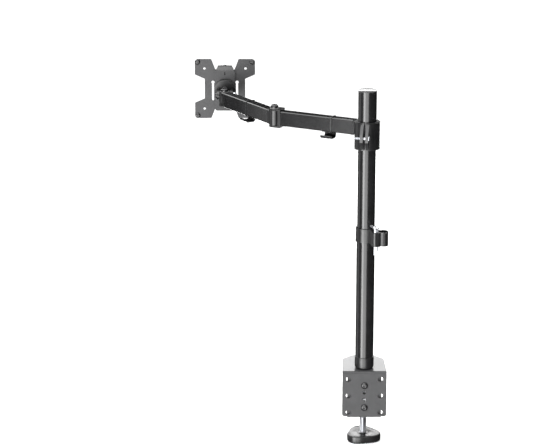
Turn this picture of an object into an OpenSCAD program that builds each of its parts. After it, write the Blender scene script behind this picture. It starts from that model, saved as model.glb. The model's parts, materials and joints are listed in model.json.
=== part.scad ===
// Monitor arm: a desk clamp holds an upright pole, a split collar on the pole carries two
// jointed arms, and a swivelling, tilting and rotating head holds a plate for a screen.
// Millimetres, +Z up. The clamp's front plate faces -Y and the desk lies towards +Y.
// The origin is on the pole's axis, at the desk surface under the clamp.

/* [Clamp] */
// Width of the bent clamp bracket
clamp_w = 78; // [74:1:90]
// Thickness of the clamp's steel plates
plate_t = 4; // [3:0.5:5]
// Reach of the top plate over the desk, from the pole's axis
clamp_reach = 65; // [60:1:75]
// Bottom edge of the bracket's front plate, below the desk surface
clamp_drop = 77; // [75:1:80]
// Width of the lower jaw
jaw_w = 60; // [54:1:70]
// Thickness of the rubber pads
pad_t = 2; // [1:0.5:2.5]

/* [Clamp screw] */
// Nominal diameter of the clamp screw
screw_d = 12; // [10:1:14]
// Top of the pressure pad, below the desk surface
desk_gap = 24; // [10:1:40]
// Length of the clamp screw between its disc and its knob
screw_len = 92; // [80:1:100]
// Radius to the tips of the knob's lobes
knob_r = 32; // [28:1:36]
// Height of the knob
knob_h = 13; // [10:1:16]

/* [Pole] */
// Outside diameter of the pole
pole_d = 32; // [30:0.5:35]
// Height of the pole above the clamp
pole_h = 500; // [450:10:700]

/* [Arms] */
// Height of both arms' centre line above the desk
arm_z = 439.5; // [300:0.5:450]
// Height of the arm tubes
tube_h = 26; // [24:1:30]
// Width of the arm tubes
tube_w = 18; // [16:1:20]
// Wall of the arm tubes
tube_wall = 1.6; // [1.2:0.1:2]
// Distance from the pole's axis to the elbow
arm1_len = 178; // [150:1:220]
// Distance from the elbow to the head's swivel
arm2_len = 169; // [150:1:220]
// Direction of the first arm, seen from above
arm1_dir = 152.6; // [120:0.1:180]
// Direction of the second arm, seen from above
arm2_dir = 122.1; // [100:0.1:140]
// Direction that the head faces, seen from above
head_dir = 90; // [60:1:120]

/* [Collar] */
// Outside radius of the split collar
collar_r = 22.4; // [21:0.1:24]
// Height of the split collar
collar_h = 46.5; // [40:0.5:60]
// Direction of the collar's clamping ears, seen from above
ear_dir = 258; // [240:1:270]

/* [Head] */
// Distance from the head's swivel to the face of the screen plate
plate_x = 54.5; // [54:0.5:60]
// Side of the screen plate
vesa_size = 110; // [108:1:120]
// Thickness of the screen plate
vesa_t = 2.5; // [2:0.5:3]

/* [Cable holder] */
// Underside of the cable holder on the pole
holder_z = 239; // [60:1:280]
// Height of the cable holder
holder_h = 24.7; // [18:0.1:30]

/* [Hidden] */
$fn = 64;

eps = 0.01;      // overlap that lets one cut pass another face
far = 200;       // longer than any cut needs
slip = 0.05;     // radial clearance of a running fit
seat = 0.02;     // radial clearance of a bolt in its own clamped parts

// Clamp
front_y = -25;                           // outer face of the front plate
bend_r = 6;                              // outer radius of the bracket's bend
top_z = pad_t + plate_t;                 // top face of the clamp's top plate
jaw_y = front_y + plate_t;               // front face of the lower jaw
jaw_z = -clamp_drop - 3;                 // underside of the lower jaw
jaw_reach = 48;                          // end of the lower jaw over the desk
jaw_top = -3;                            // top edge of the jaw's upright
side_hole = [28, 4.6];                   // distance from the middle, and radius
side_hole_z = [-7.5, -38.5, -69.5];      // heights of the side holes
row_z = -19.3;                           // height of the highest middle hole
row_pitch = 13.7;                        // pitch of the middle holes
row_count = 4;
middle_bolt_r = 3;
screw_y = 18;                            // the clamp screw stands behind the pole's axis
screw_nut_h = 10;
screw_nut_af = 19;
disc_r = 20;
disc_t = 4;
disc_boss = [9, 3];                      // radius and height of the boss that holds the screw's end
screw_top = -desk_gap - pad_t - disc_t;  // underside of the pressure plate
knob_top = screw_top - screw_len;
knob_waist_r = 26;                       // radius of the knob between its lobes
knob_turn = 12;                          // the knob's position on its screw
knob_bevel = 2;
knob_floor = 3;                          // the knob's thickness below the end of its screw

// Pole
pole_r = pole_d / 2;
pole_wall = 1.8;
foot_h = 22;
foot_flare = 3;       // height of the foot's cone at the clamp
spigot_h = 45;
pole_bolt_r = 5;
pole_bolt_len = 30;
pole_bolt_head = [8, 3];  // radius and height of its countersunk head
cap_h = 1.5;
cap_plug_h = 12;
tube_top = top_z + pole_h - cap_h;

// Collar
collar_z = 404.5;
liner_r = pole_r + 1.45;
liner_flange_r = pole_r + 4.8;
liner_flange_t = 1.3;
ear_t = 5;
ear_gap = 4.4;
ear_reach = 33;
ear_tip = 6;              // half height of the ears' upright edge, about the bolt
ear_corner = 2;           // cut off the corners of that edge
ear_foot = [27, 3];       // where the ears' lower slope starts: reach, and height above the collar's foot
ear_root = 10;            // the ears start inside the collar's wall
collar_bolt_z = 427;
collar_bolt_reach = 27;
collar_bolt_r = 2.5;
collar_bolt_end = 9;      // thread that stands out of the left ear

// Arms: all lengths along an arm are measured from a pivot
pivot_r = 9.5;        // round end of the forks and tongues
pivot_bolt_r = 4;
pivot_head = [7, 5.5];    // radius and height of a pivot bolt's head
plain_washer_t = 0.8; // washer under a pivot bolt's head
washer_t = 0.5;       // friction washer
elbow_h = 33;         // height of the elbow's fork, which is taller than the tubes
elbow_slot_h = 27;
elbow_tongue_h = 25.9;
elbow_nut = [6.5, 2.9];   // radius and height of the pressed-in nut, level with the fork
elbow_fork_depth = 10.5;  // from the pivot to the fork's web
elbow_fork_end = 15.5;    // where the first arm's tube ends
elbow_tongue_end = 12;    // where the second arm's tube starts
head_slot_h = 15;
head_tongue_h = 13.9;
head_nut = [13, 3.5];     // width across flats and height of the nut, sunk in the fork
head_fork_depth = 7;
head_fork_end = 14;       // where the second arm's tube ends, from the head's swivel
fork_seat_r = 10.1;   // hollow in a web, round the tongue
neck_w = 13;
plug_len = 22;        // how far a plug reaches into its tube
screw_inset = 5;      // from a tube's end to its screw
arm1_start = collar_r + 0.4;
clip_band = 2.4;
clip_len = 21;
clip_wall = 1.8;
clip_drop = 12.5;
clip_corner = 5;      // outer radius of a trough's lower corners
clip_lip = 0.6;       // straight height of the lip above its corner
arm1_clip_x = 65.8;
arm2_clip_x = 81.5;

// Head: lengths along the head are measured from its swivel
tilt_x = 29;
tilt_r = 8.5;
tilt_half = 10;       // half length of the tongue's tilt barrel
tilt_ear_t = 4;
tilt_ear_r = 9;
tilt_bolt_r = 3;
base_x = 44;          // front face of the tilt bracket's round base
base_t = 4;
base_r = 19;
hub_bolt_r = 4;
hub_w = 36;
hub_t = 5;
hub_x = plate_x - hub_t;
hub_low = -40;
plate_lift = 6;       // the plate's middle is this far above the arms' centre line
vesa_half = vesa_size / 2;
notch_z = 35.5;       // bottom of the plate's top notch, from the middle
catch_top = 43;
slot_y = 22;          // keyhole slots, from the plate's middle
slot_z = -3.5;
slot_w = 3.8;
slot_len = 37;
slot_eye_r = 2.9;
vesa_pitches = [75, 100];
vesa_screw_r = 2;
vesa_shoulder_r = 2.2;    // the part of a screen screw that fills its hole in the plate
vesa_hole_r = 2.25;
vesa_thread = 8;          // thread that reaches into the screen

function polar(r, a) = [r * cos(a), r * sin(a), 0];
elbow_at = polar(arm1_len, arm1_dir);
head_at = elbow_at + polar(arm2_len, arm2_dir);

// ---------- frames ----------

// Local +X runs along the first arm, from the pole's axis
module arm1_frame() translate([0, 0, arm_z]) rotate([0, 0, arm1_dir]) children();

// Local +X runs along the second arm, from the elbow
module arm2_frame() translate(elbow_at + [0, 0, arm_z]) rotate([0, 0, arm2_dir]) children();

// The far end of the second arm, with +X back along the arm
module arm2_far_frame() translate(head_at + [0, 0, arm_z]) rotate([0, 0, arm2_dir + 180]) children();

// The far end of the first arm, with +X back along the arm
module arm1_far_frame() translate(elbow_at + [0, 0, arm_z]) rotate([0, 0, arm1_dir + 180]) children();

// Local +X runs from the head's swivel towards the screen
module head_frame() translate(head_at + [0, 0, arm_z]) rotate([0, 0, head_dir]) children();

// The head's frame, raised to the middle of the screen plate
module plate_frame() head_frame() translate([0, 0, plate_lift]) children();

// Turns an upright extrusion to run along +X, with its drawing's y upwards
module facing_x(x, length) translate([x, 0, 0]) rotate([90, 0, 90]) linear_extrude(length) children();

// A bar along Y through the point [x, 0, z]
module across_y(x, z, length, r) translate([x, length / 2, z]) rotate([90, 0, 0]) cylinder(h = length, r = r);

// ---------- shared shapes ----------

module rounded_square(w, h, r) {
  square([w - 2 * r, h], center = true);
  square([w, h - 2 * r], center = true);
  for (x = [-1, 1], y = [-1, 1]) translate([x * (w / 2 - r), y * (h / 2 - r)]) circle(r);
}

module tube_outline(grow = 0) rounded_square(tube_w + 2 * grow, tube_h + 2 * grow, 2.5 + grow);

module tube_bore_outline(shrink = 0)
  rounded_square(tube_w - 2 * tube_wall - 2 * shrink, tube_h - 2 * tube_wall - 2 * shrink, 1.2);

module arm_tube(x0, x1) {
  difference() {
    facing_x(x0, x1 - x0) tube_outline();
    facing_x(x0 - 1, x1 - x0 + 2) tube_bore_outline();
    for (x = [x0 + screw_inset, x1 - screw_inset])
      translate([x, 0, -tube_h]) cylinder(h = tube_h, r = 2 + seat);
  }
}

// The part of a plug that is inside a tube, with the hole for its screw
module tube_plug(x0) {
  difference() {
    facing_x(x0 - eps, plug_len + eps) tube_bore_outline(slip);
    translate([x0 + screw_inset, 0, -tube_h]) cylinder(h = tube_h - 4, r = 2 + seat);
  }
}

// Screws up through the tube's underside into the plug
module tube_screw(x) {
  translate([x, 0, -tube_h / 2 - 2]) cylinder(h = 2, r = 3.5);
  translate([x, 0, -tube_h / 2 - eps]) cylinder(h = 8, r = 2);
}

// The space between a fork's ears, its hollow round the tongue and its bolt hole
module fork_slot(slot_h, depth) {
  cylinder(h = slot_h, r = fork_seat_r, center = true);
  translate([-far / 2, -far / 2, -slot_h / 2]) cube([far / 2 + depth, far, slot_h]);
  cylinder(h = far, r = pivot_bolt_r + seat, center = true);
}

// The bolt's head stands on its washer, and its end is level with the fork's underside
module pivot_bolt(fork_h) {
  top = fork_h / 2 + plain_washer_t;
  translate([0, 0, top]) difference() {
    button_head(pivot_head[0], pivot_head[1]);
    translate([0, 0, pivot_head[1] - 3]) cylinder(h = far, r = 3, $fn = 6);
  }
  translate([0, 0, -fork_h / 2]) cylinder(h = top + fork_h / 2 + eps, r = pivot_bolt_r);
}

// A low domed screw head, standing on z = 0
module button_head(r, h) {
  intersection() {
    cylinder(h = h, r = r);
    translate([0, 0, h - dome_r(r, h)]) sphere(dome_r(r, h));
  }
}
function dome_r(r, h) = (r * r + h * h * 0.36) / (1.2 * h);

module hex_nut(af, h, bore) difference() {
  cylinder(h = h, r = af / 2 / cos(30), $fn = 6);
  translate([0, 0, -1]) cylinder(h = h + 2, r = bore);
}

module washer(r, bore, h) difference() {
  cylinder(h = h, r = r);
  translate([0, 0, -1]) cylinder(h = h + 2, r = bore);
}

// Friction washers above and below a tongue, and a plain one under the bolt's head
module pivot_washers(fork_h, tongue_h) {
  for (s = [0, 1]) mirror([0, 0, s])
    translate([0, 0, tongue_h / 2 + slip]) washer(8.5, pivot_bolt_r + seat, washer_t - slip);
  translate([0, 0, fork_h / 2]) washer(8, pivot_bolt_r + seat, plain_washer_t);
}

// ---------- clamp ----------

module clamp_bracket() color("#3b3b3d") difference() {
  union() {
    translate([0, 0, pad_t]) linear_extrude(plate_t) top_outline(front_y + bend_r, 0);
    translate([0, front_y + bend_r, top_z - bend_r]) rotate([0, 90, 0])
      bracket_bend();
    translate([0, front_y + plate_t, -clamp_drop]) rotate([90, 0, 0]) linear_extrude(plate_t)
      front_outline();
  }
  for (x = [-1, 1], z = side_hole_z) bolt_way(x * side_hole[0], z, side_hole[1]);
  middle_holes(slip);
  translate([0, 0, pad_t - 1]) cylinder(h = plate_t + 2, r = pole_bolt_r + slip);
  translate([0, 0, pad_t - eps]) cylinder(h = pole_bolt_head[1] + eps,
    r1 = pole_bolt_head[0] + eps + slip, r2 = pole_bolt_r + slip);
}

// The part over the desk, from a straight front edge to a narrower back edge
module top_outline(front, inset) polygon([
  [-clamp_w / 2 + inset, front], [clamp_w / 2 - inset, front],
  [clamp_w / 2 - 2 - inset, clamp_reach - 20], [18 - inset / 3, clamp_reach - inset],
  [-18 + inset / 3, clamp_reach - inset], [-clamp_w / 2 + 2 + inset, clamp_reach - 20]]);

module middle_holes(clearance) for (i = [0:row_count - 1])
  bolt_way(0, row_z - i * row_pitch, middle_bolt_r + clearance);

module bracket_bend() intersection() {
  difference() {
    cylinder(h = clamp_w, r = bend_r, center = true);
    cylinder(h = clamp_w + 2, r = bend_r - plate_t, center = true);
  }
  translate([-bend_r * 2, -bend_r * 2, -clamp_w / 2]) cube([bend_r * 2, bend_r * 2, clamp_w]);
}

// The front plate up to where its bend starts, with rounded lower corners
module front_outline() {
  height = clamp_drop + top_z - bend_r;
  corner = 4;
  translate([-clamp_w / 2, corner]) square([clamp_w, height - corner]);
  translate([-clamp_w / 2 + corner, 0]) square([clamp_w - 2 * corner, height]);
  for (x = [-1, 1]) translate([x * (clamp_w / 2 - corner), corner]) circle(corner);
}

// A hole along Y through the bracket and the jaw
module bolt_way(x, z, r) translate([x, front_y - 1, z]) rotate([-90, 0, 0]) cylinder(h = 20, r = r);

module desk_pad() color("#161616") linear_extrude(pad_t) top_outline(jaw_y + plate_t + 1, 3);

module lower_jaw() color("#3b3b3d") difference() {
  union() {
    translate([-jaw_w / 2, jaw_y, jaw_z]) cube([jaw_w, plate_t, jaw_top - jaw_z]);
    translate([0, 0, jaw_z]) linear_extrude(plate_t) jaw_outline();
  }
  middle_holes(slip);
  translate([0, screw_y, jaw_z - 1]) cylinder(h = plate_t + 2, r = screw_d / 2 + slip);
}

module jaw_outline() {
  corner = 8;
  translate([-jaw_w / 2, jaw_y]) square([jaw_w, jaw_reach - corner - jaw_y]);
  translate([-jaw_w / 2 + corner, jaw_y]) square([jaw_w - 2 * corner, jaw_reach - jaw_y]);
  for (x = [-1, 1]) translate([x * (jaw_w / 2 - corner), jaw_reach - corner]) circle(corner);
}

// A zinc-plated strip of threaded holes behind the jaw, which takes the jaw's bolts
module jaw_thread_strip() color("#b9bbbd") difference() {
  half = 7;
  rows = (row_count - 1) * row_pitch;
  translate([-half, jaw_y + plate_t, row_z - rows - half]) cube([2 * half, plate_t, rows + 2 * half]);
  middle_holes(seat);
}

// Flat-headed bolts in the highest and the lowest middle hole
module jaw_bolts() color("#0e0e0e") for (i = [0, row_count - 1])
  translate([0, front_y, row_z - i * row_pitch]) rotate([90, 0, 0]) difference() {
    reach = 2 * plate_t + 3.5;
    union() {
      cylinder(h = 3.5, r = 6);
      translate([0, 0, -reach]) cylinder(h = reach + eps, r = middle_bolt_r);
    }
    translate([0, 0, 1]) cylinder(h = 5, r = 2.3, $fn = 6);
  }

module screw_nut() color("#9a9c9e") translate([0, screw_y, jaw_z - screw_nut_h])
  hex_nut(screw_nut_af, screw_nut_h, screw_d / 2 + slip);

module clamp_screw() color("#c9cbcd") {
  sunk = knob_h - knob_floor;
  translate([0, screw_y, knob_top - sunk]) cylinder(h = screw_len + sunk, r = screw_d / 2);
}

// A knob with three lobes, hollowed between them
module clamp_knob() color("#111111") translate([0, screw_y, knob_top - knob_h]) difference() {
  union() {
    linear_extrude(knob_h - knob_bevel) knob_outline(0);
    translate([0, 0, knob_h - knob_bevel - eps]) linear_extrude(knob_bevel + eps)
      knob_outline(knob_bevel / 2);
  }
  translate([0, 0, knob_floor]) cylinder(h = far, r = screw_d / 2 + seat);
}

// The radius swings between the tips of the lobes and the waists between them
function knob_edge(a) = (knob_r + knob_waist_r) / 2 + (knob_r - knob_waist_r) / 2 * cos(3 * a);

module knob_outline(inset) rotate(knob_turn + 90)
  polygon([for (a = [0:5:355]) (knob_edge(a) - inset) * [cos(a), sin(a)]]);

module pressure_plate() color("#3b3b3d") translate([0, screw_y, screw_top]) difference() {
  union() {
    cylinder(h = disc_t, r = disc_r);
    translate([0, 0, -disc_boss[1]]) cylinder(h = disc_boss[1] + eps, r = disc_boss[0]);
  }
  translate([0, 0, -disc_boss[1] - eps]) cylinder(h = disc_boss[1] + eps, r = screw_d / 2 + slip);
}

module pressure_pad() color("#161616") translate([0, screw_y, screw_top + disc_t])
  cylinder(h = pad_t, r = disc_r - 0.5);

// ---------- pole ----------

// A turned foot: it flares a little at the desk end and carries the tube on a spigot
module pole_foot() color("#101010") translate([0, 0, top_z]) difference() {
  union() {
    cylinder(h = foot_flare, r1 = pole_r - 1.2, r2 = pole_r + 0.7);
    translate([0, 0, foot_flare]) cylinder(h = foot_h - foot_flare, r = pole_r + 0.8);
    cylinder(h = foot_h + spigot_h, r = pole_r - pole_wall - slip);
  }
  translate([0, 0, -1]) cylinder(h = pole_bolt_len + 1, r = pole_bolt_r + seat);
}

module pole_bolt() color("#9a9c9e") translate([0, 0, pad_t]) {
  cylinder(h = pole_bolt_head[1], r1 = pole_bolt_head[0], r2 = pole_bolt_r);
  cylinder(h = pole_bolt_len, r = pole_bolt_r);
}

module pole_tube() color("#1b1b1c") translate([0, 0, top_z + foot_h]) difference() {
  cylinder(h = tube_top - top_z - foot_h, r = pole_r);
  translate([0, 0, -1]) cylinder(h = tube_top, r = pole_r - pole_wall);
}

module pole_cap() color("#d9dadb") translate([0, 0, tube_top]) {
  cylinder(h = cap_h, r = pole_r);
  translate([0, 0, -cap_plug_h]) cylinder(h = cap_plug_h + eps, r = pole_r - pole_wall - slip);
}

// ---------- cable holder ----------

ring_at = [28.5, -28];
ring_r = 9.2;
ring_wall = 1.8;
ring_mouth = 5.5;
ring_turn = 0;                // the mouth faces straight away from the pole's side
key_large = [14.2, -36, 4];   // x, y and width across flats
key_small = [19.2, -35.2, 2.5];

module cable_holder() color("#141414") translate([0, 0, holder_z]) difference() {
  union() {
    cylinder(h = holder_h, r = pole_r + 2.2);
    translate([ring_at[0], ring_at[1], 0]) cylinder(h = holder_h, r = ring_r);
    linear_extrude(holder_h) hull() {
      translate([9, -17]) circle(2.5);
      translate([16, -11]) circle(2.5);
      translate([22, -24]) circle(2.5);
      translate([key_large[0], key_large[1]]) circle(4.6);
      translate([key_small[0], key_small[1]]) circle(4.2);
    }
  }
  translate([0, 0, -1]) cylinder(h = far, r = pole_r + slip);
  translate([ring_at[0], ring_at[1], -1]) cylinder(h = far, r = ring_r - ring_wall);
  translate([ring_at[0], ring_at[1], -1]) rotate(ring_turn) translate([0, -ring_mouth / 2, 0])
    cube([far, ring_mouth, far]);
  rotate(100) translate([0, -4, -1]) cube([far, 8, far]);
  for (key = [key_large, key_small]) translate([key[0], key[1], -1])
    cylinder(h = far, r = key[2] / 2 / cos(30) + slip);
}

// An L-shaped hex key that hangs from its short arm
module hex_key(key, drop, arm, turn) color("#c9cbcd") {
  r = key[2] / 2 / cos(30);
  bend = key[2];
  top = holder_z + holder_h + 0.1 + bend;
  translate([key[0], key[1], top]) rotate(turn) {
    translate([0, 0, -drop]) cylinder(h = drop, r = r, $fn = 6);
    translate([bend, 0, 0]) rotate([90, 0, 180]) rotate_extrude(angle = 90)
      translate([bend, 0]) circle(r, $fn = 6);
    translate([bend, 0, bend]) rotate([0, 90, 0]) rotate(30) cylinder(h = arm - bend, r = r, $fn = 6);
  }
}

module hex_key_large() hex_key(key_large, 44, 15, 115);
module hex_key_small() hex_key(key_small, 36, 12, 80);

// ---------- collar ----------

module collar_liner() color("#202020") difference() {
  union() {
    translate([0, 0, collar_z]) cylinder(h = collar_h + slip, r = liner_r);
    translate([0, 0, collar_z + collar_h + slip]) cylinder(h = liner_flange_t, r = liner_flange_r);
  }
  translate([0, 0, collar_z - 1]) cylinder(h = far, r = pole_r + slip);
  translate([0, 0, collar_z - 1]) rotate(ear_dir) translate([0, -1, 0]) cube([far, 2, far]);
}

// The split collar, its two clamping ears and the plug that carries the first arm
module collar_body() color("#1d1d1e") difference() {
  union() {
    translate([0, 0, collar_z]) cylinder(h = collar_h, r = collar_r);
    rotate(ear_dir) rotate([90, 0, 0]) linear_extrude(2 * ear_t + ear_gap, center = true) ear_outline();
    arm1_frame() {
      facing_x(10, arm1_start - 10) tube_bore_outline(slip);
      tube_plug(arm1_start);
    }
  }
  translate([0, 0, collar_z - 1]) cylinder(h = far, r = liner_r + slip);
  rotate(ear_dir) translate([0, -ear_gap / 2, collar_z - 1]) cube([far, ear_gap, far]);
  rotate(ear_dir) across_y(collar_bolt_reach, collar_bolt_z, far, collar_bolt_r + seat);
}

// The ears lean out from the collar's top to their tip at the bolt, and back in below it
module ear_outline() polygon([
  [ear_root, collar_z + ear_foot[1]], [ear_foot[0], collar_z + ear_foot[1]],
  [ear_reach - ear_corner, collar_bolt_z - ear_tip - ear_corner], [ear_reach, collar_bolt_z - ear_tip],
  [ear_reach, collar_bolt_z + ear_tip], [ear_reach - ear_corner, collar_bolt_z + ear_tip + ear_corner],
  [collar_r, collar_z + collar_h - 1], [ear_root, collar_z + collar_h - 1]]);

// The bolt enters the right ear and its thread stands out of the left one
module collar_bolt() color("#c9cbcd") rotate(ear_dir) {
  half = ear_gap / 2 + ear_t;
  translate([collar_bolt_reach, half, collar_bolt_z]) rotate([-90, 0, 0]) difference() {
    button_head(5, 2.6);
    translate([0, 0, 1]) cylinder(h = far, r = 1.7, $fn = 6);
  }
  translate([collar_bolt_reach, -half - collar_bolt_end, collar_bolt_z]) rotate([-90, 0, 0])
    cylinder(h = 2 * half + collar_bolt_end + eps, r = collar_bolt_r);
}

// ---------- first arm ----------

module arm1_tube() color("#1b1b1c") arm1_frame() arm_tube(arm1_start, arm1_len - elbow_fork_end);

// The elbow's fork: two round ears above and below the second arm, and a taller web behind them
module arm1_fork() color("#0f0f10") arm1_far_frame() {
  difference() {
    union() {
      cylinder(h = elbow_h, r = pivot_r, center = true);
      facing_x(0, elbow_fork_end) square([2 * pivot_r, elbow_h], center = true);
    }
    fork_slot(elbow_slot_h, elbow_fork_depth);
    translate([0, 0, -elbow_h / 2 - 1]) cylinder(h = elbow_nut[1] + 1, r = elbow_nut[0] + seat);
  }
  tube_plug(elbow_fork_end);
}

module arm1_screws() color("#8b8d8f") arm1_frame() {
  tube_screw(arm1_start + screw_inset);
  tube_screw(arm1_len - elbow_fork_end - screw_inset);
}

// A snap band round the tube with a trough under it, open towards +Y
module arm_clip(x) color("#121212") difference() {
  union() {
    facing_x(x - clip_band, clip_band) tube_outline(1.1);
    facing_x(x - clip_band, clip_len) trough_outline();
  }
  facing_x(x - far / 2, far) tube_outline(0.1);
}

module trough_outline() {
  low = -tube_h / 2 - clip_drop;
  half = tube_w / 2 + 1;
  inner = clip_corner - clip_wall;
  difference() {
    union() {
      translate([-half, low + clip_corner]) square([2 * half, clip_lip]);
      translate([-half + clip_corner, low]) square([2 * (half - clip_corner), clip_corner + clip_lip]);
      translate([-half, low + clip_corner]) square([clip_wall, clip_drop + 3]);
      translate([-half, -tube_h / 2 - clip_wall]) square([2 * half - 6, clip_wall + 1]);
      for (s = [-1, 1]) intersection() {
        translate([s * (half - clip_corner), low + clip_corner]) circle(clip_corner);
        translate([-half, low]) square([2 * half, clip_corner]);
      }
    }
    translate([-half + clip_wall, low + clip_corner]) square([2 * half - 2 * clip_wall, clip_corner]);
    translate([-half + clip_corner, low + clip_wall]) square([2 * (half - clip_corner), clip_corner]);
    for (s = [-1, 1]) translate([s * (half - clip_corner), low + clip_corner]) circle(inner);
  }
}

module arm1_clip() arm1_frame() arm_clip(arm1_clip_x);

// ---------- elbow ----------

module elbow_bolt() color("#2a2a2b") arm2_frame() pivot_bolt(elbow_h);
module elbow_nut() color("#8b8d8f") arm2_frame() translate([0, 0, -elbow_h / 2])
  washer(elbow_nut[0], pivot_bolt_r + seat, elbow_nut[1]);
module elbow_washers() color("#5a5a5c") arm2_frame() pivot_washers(elbow_h, elbow_tongue_h);

// ---------- second arm ----------

// The elbow's tongue is as tall and as wide as the tube behind it
module arm2_tongue() color("#0f0f10") arm2_frame() {
  difference() {
    union() {
      cylinder(h = elbow_tongue_h, r = pivot_r, center = true);
      facing_x(0, elbow_tongue_end) tube_outline(-eps);
    }
    translate([-far / 2, -far / 2, elbow_tongue_h / 2]) cube([far / 2 + pivot_r + 1, far, 1]);
    translate([-far / 2, -far / 2, -elbow_tongue_h / 2 - 1]) cube([far / 2 + pivot_r + 1, far, 1]);
    cylinder(h = far, r = pivot_bolt_r + slip, center = true);
  }
  tube_plug(elbow_tongue_end);
}

module arm2_tube() color("#1b1b1c") arm2_frame() arm_tube(elbow_tongue_end, arm2_len - head_fork_end);

module arm2_head_fork() color("#0f0f10") arm2_far_frame() {
  difference() {
    union() {
      cylinder(h = tube_h, r = pivot_r, center = true);
      facing_x(0, head_fork_end) tube_outline();
    }
    fork_slot(head_slot_h, head_fork_depth);
    translate([0, 0, -tube_h / 2 - 1])
      cylinder(h = head_nut[1] + 1, r = head_nut[0] / 2 / cos(30) + slip, $fn = 6);
  }
  tube_plug(head_fork_end);
}

module arm2_screws() color("#1c1c1d") arm2_frame() {
  tube_screw(elbow_tongue_end + screw_inset);
  tube_screw(arm2_len - head_fork_end - screw_inset);
}

module arm2_clip() arm2_frame() arm_clip(arm2_clip_x);

// ---------- head ----------

module head_bolt() color("#2a2a2b") arm2_far_frame() pivot_bolt(tube_h);
module head_nut() color("#8b8d8f") arm2_far_frame() translate([0, 0, -tube_h / 2])
  hex_nut(head_nut[0], head_nut[1], pivot_bolt_r + seat);
module head_washers() color("#5a5a5c") arm2_far_frame() pivot_washers(tube_h, head_tongue_h);

// The tongue turns on the swivel bolt and ends in a barrel for the tilt bolt
module head_tongue() color("#0f0f10") head_frame() difference() {
  union() {
    cylinder(h = head_tongue_h, r = pivot_r, center = true);
    translate([0, -neck_w / 2, -head_tongue_h / 2]) cube([tilt_x, neck_w, head_tongue_h]);
    across_y(tilt_x, 0, 2 * tilt_half, tilt_r);
  }
  cylinder(h = far, r = pivot_bolt_r + slip, center = true);
  across_y(tilt_x, 0, far, tilt_bolt_r + slip);
}

tilt_ear_in = tilt_half + washer_t + slip;
tilt_ear_out = tilt_ear_in + tilt_ear_t;

module tilt_bracket() color("#141415") head_frame() difference() {
  union() {
    facing_x(base_x, base_t) translate([0, plate_lift]) circle(base_r);
    for (s = [-1, 1]) translate([0, s * (tilt_ear_in + tilt_ear_out) / 2, 0]) {
      across_y(tilt_x, 0, tilt_ear_t, tilt_ear_r);
      translate([tilt_x, -tilt_ear_t / 2, -tilt_ear_r + 1])
        cube([base_x - tilt_x + 1, tilt_ear_t, 2 * tilt_ear_r - 2]);
    }
  }
  across_y(tilt_x, 0, far, tilt_bolt_r + seat);
  facing_x(base_x - 1, base_t + 2) translate([0, plate_lift]) circle(hub_bolt_r + slip);
}

module tilt_bolt() color("#2a2a2b") head_frame() {
  translate([tilt_x, tilt_ear_out, 0]) rotate([-90, 0, 0]) difference() {
    button_head(5.5, 4);
    translate([0, 0, 1.5]) cylinder(h = far, r = 2.3, $fn = 6);
  }
  across_y(tilt_x, 0, 2 * tilt_ear_out + 2 * eps, tilt_bolt_r);
  translate([tilt_x, -tilt_ear_out - 7, 0]) rotate([-90, 0, 0]) cylinder(h = 7 + eps, r = tilt_bolt_r);
}

module tilt_nut() color("#8b8d8f") head_frame() translate([tilt_x, -tilt_ear_out, 0]) rotate([90, 0, 0])
  hex_nut(10, 5, tilt_bolt_r + seat);

module tilt_washers() color("#5a5a5c") head_frame() for (s = [0, 1]) mirror([0, s, 0])
  translate([tilt_x, tilt_half + slip, 0]) rotate([-90, 0, 0]) washer(8, tilt_bolt_r + seat, washer_t);

// The bolt that the plate turns on
module hub_bolt() color("#2a2a2b") plate_frame() {
  facing_x(base_x - 3.9, 3.9) circle(6.5);
  facing_x(base_x - eps, plate_x + vesa_t - 0.2 - base_x) circle(hub_bolt_r);
}

module hub_washer() color("#5a5a5c") plate_frame() facing_x(base_x + base_t + slip, 1.5 - 2 * slip)
  difference() {
    circle(15);
    circle(hub_bolt_r + slip);
  }

module hub_nut() color("#8b8d8f") plate_frame() translate([plate_x, 0, 0]) rotate([0, 90, 0])
  hex_nut(13, vesa_t - 0.1, hub_bolt_r + seat);

// The upright that the screen plate hangs on
module hub_bracket() color("#4a4a4c") plate_frame() difference() {
  facing_x(hub_x, hub_t) translate([0, (notch_z + hub_low) / 2])
    rounded_square(hub_w, notch_z - hub_low, 4);
  facing_x(hub_x - 1, hub_t + 2) circle(hub_bolt_r + seat);
  facing_x(hub_x - 1, 2.5) translate([0, 29]) rounded_square(2.4, 6, 1.1);
  translate([hub_x + hub_t / 2, 0, 22]) cylinder(h = far, r = 1.25 + seat);
}

module safety_catch() color("#0b0b0b") plate_frame() difference() {
  facing_x(hub_x, hub_t + vesa_t) polygon([
    [-16.5, notch_z + 0.05], [16.5, notch_z + 0.05], [12.5, catch_top], [-12.5, catch_top]]);
  translate([hub_x + hub_t / 2, 0, 22]) cylinder(h = far, r = 1.25 + seat);
}

module catch_screw() color("#303031") plate_frame() translate([hub_x + hub_t / 2, 0, catch_top]) {
  button_head(3, 2);
  translate([0, 0, -20]) cylinder(h = 20 + eps, r = 1.25);
}

// The screen plate: four lobes, a waist at each side and a notch above and below
module vesa_plate() color("#4a4a4c") plate_frame() difference() {
  facing_x(plate_x, vesa_t) plate_outline();
  for (pitch = vesa_pitches, y = [-1, 1], z = [-1, 1])
    facing_x(plate_x - 1, vesa_t + 2) translate([y * pitch / 2, z * pitch / 2])
      circle(vesa_hole_r);
  for (s = [-1, 1]) facing_x(plate_x - 1, vesa_t + 2) translate([s * slot_y, slot_z]) {
    rounded_square(slot_w, slot_len, slot_w / 2 - eps);
    translate([0, slot_len / 2 - slot_eye_r]) circle(slot_eye_r);
  }
  facing_x(plate_x - 1, vesa_t + 2) circle(9);
}

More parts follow.
